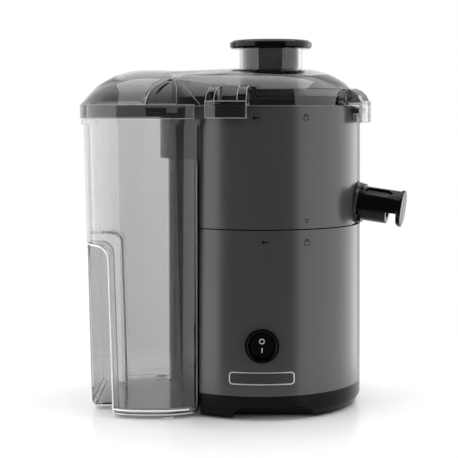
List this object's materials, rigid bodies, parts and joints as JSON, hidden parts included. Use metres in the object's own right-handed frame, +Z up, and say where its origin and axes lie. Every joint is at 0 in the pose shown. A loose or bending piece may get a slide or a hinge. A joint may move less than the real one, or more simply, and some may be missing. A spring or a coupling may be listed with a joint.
{
  "type": "centrifugal_juicer",
  "caption": "Centrifugal juicer with grey body, clear smoked cover, feed chute with black pusher, side pulp container, black juice spout and round rocker switch",
  "frame": {"origin": "bottom centre of the bounding box of the whole machine, on the standing face", "axes": "+Z up; -Y is the front with the switch; +X is the juice spout side, -X the pulp container side"},
  "size_m": [0.2718, 0.1858, 0.3075],
  "materials": {
    "black_gloss": "polished moulded surface",
    "smoke_clear": "clear, lightly smoked, polished",
    "steel": "stamped stainless sheet",
    "black_satin": "fine satin moulded surface",
    "grey_plastic": "dark warm grey, semi-gloss",
    "rubber": "matt",
    "white_plastic": "natural white, satin",
    "spring_steel": "ground steel",
    "zinc": "zinc plated",
    "silver": "satin silver plate, left blank",
    "stack_steel": "pressed laminations",
    "copper": "enamelled winding wire",
    "copper_bare": "turned copper bars",
    "brass": "drawn brass",
    "carbon": "pressed carbon",
    "cast_alloy": "die cast"
  },
  "bodies": {
    "base": {"housing": "grey_plastic", "plinth": "black_satin", "feet": "rubber", "base_screws": "zinc", "switch_bezel": "black_satin", "switch_body": "black_satin", "badge_plate": "silver", "motor_stack": "stack_steel", "field_coils": "copper", "brush_holders": "brass", "carbon_brushes": "carbon", "upper_bracket": "cast_alloy", "lower_bracket": "cast_alloy", "bearings": "spring_steel", "rubber_mounts": "rubber", "motor_screws": "zinc", "shaft_seal": "rubber", "microswitch": "black_satin", "cord_gland": "rubber"},
    "rotor": {"motor_shaft": "spring_steel", "armature": "stack_steel", "rotor_windings": "copper", "commutator": "copper_bare", "cooling_fan": "black_satin", "drive_coupling": "cast_alloy"},
    "rocker": {"switch_rocker": "black_gloss"},
    "container": {"pulp_container": "smoke_clear"},
    "bowl_group": {"bowl": "grey_plastic", "spout_oring": "rubber", "lock_spring": "spring_steel"},
    "rod": {"lock_rod": "white_plastic"},
    "spout_turn": {"spout": "black_gloss"},
    "basket": {"grater_disc": "steel", "filter_basket": "steel", "basket_rim": "black_satin", "basket_hub": "black_satin"},
    "lid": {"cover": "smoke_clear"},
    "pusher": {"food_pusher": "black_gloss"}
  },
  "joints": [
    {"name": "motor_spin", "type": "hinge", "parent": "base", "child": "rotor", "pos_m": [0.01308, 0, 0.092], "axis": [0, 0, 1], "continuous": true},
    {"name": "rocker_tilt", "type": "hinge", "parent": "base", "child": "rocker", "pos_m": [0.01308, -0.08306, 0.0613], "axis": [1, 0, 0], "range_deg": [0, 16]},
    {"name": "container_slide", "type": "slide", "parent": "base", "child": "container", "axis": [-1, 0, 0], "range_m": [0, 0.12]},
    {"name": "bowl_lift", "type": "slide", "parent": "base", "child": "bowl_group", "axis": [0, 0, 1], "range_m": [0, 0.06]},
    {"name": "rod_press", "type": "slide", "parent": "bowl_group", "child": "rod", "axis": [0, 0, 1], "range_m": [-0.002, 0], "stiffness_N_per_m": 250, "springref_m": 0.004, "deforming": ["lock_spring"]},
    {"name": "spout_rotate", "type": "hinge", "parent": "bowl_group", "child": "spout_turn", "pos_m": [0.09494, -0.02347, 0.172], "axis": [0.9533, -0.2733, -0.1288], "range_deg": [0, 180]},
    {"name": "basket_spin", "type": "hinge", "parent": "bowl_group", "child": "basket", "pos_m": [0.01308, 0, 0.202], "axis": [0, 0, 1], "continuous": true},
    {"name": "cover_twist", "type": "hinge", "parent": "bowl_group", "child": "lid", "pos_m": [0.01308, 0, 0.252], "axis": [0, 0, 1], "range_deg": [-27.7, 0]},
    {"name": "pusher_slide", "type": "slide", "parent": "lid", "child": "pusher", "axis": [0, 0, 1], "range_m": [0, 0.09]}
  ],
  "couplings": [
    {"joint": "basket_spin", "follows": "motor_spin", "ratio": 1}
  ]
}
